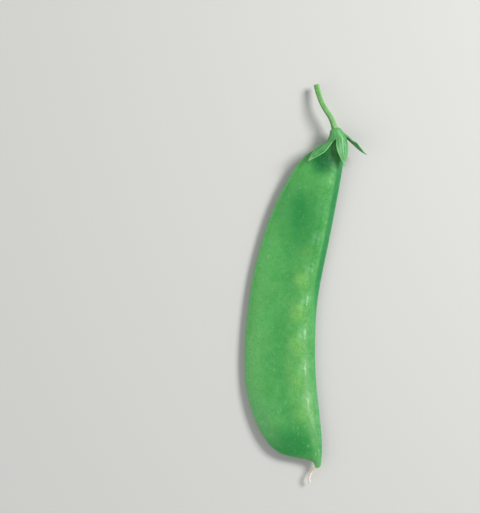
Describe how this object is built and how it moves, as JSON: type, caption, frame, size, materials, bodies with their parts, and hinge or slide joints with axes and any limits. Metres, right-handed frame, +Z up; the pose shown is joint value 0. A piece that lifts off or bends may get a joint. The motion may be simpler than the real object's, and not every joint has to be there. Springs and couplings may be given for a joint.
{
  "type": "snow pea pod",
  "caption": "Flat snow pea pod as picked, lying on its side, with its calyx, short cut stalk and dried style.",
  "frame": {"origin": "bottom centre of the whole object's box, on the surface that the pod lies on", "axes": "+Y along the pod from its beak to its stem end, +X towards the edge that carries the seeds, +Z up from the surface"},
  "size_m": [0.0326, 0.1194, 0.0095],
  "materials": {
    "pod_skin": "satin waxy plant skin",
    "calyx_leaf": "matt green leaf",
    "stalk_skin": "matt green stem",
    "dry_thread": "dry and matt"
  },
  "bodies": {
    "root": {"pod": "pod_skin", "calyx": "calyx_leaf", "stalk": "stalk_skin", "dried_style": "dry_thread"}
  },
  "joints": []
}
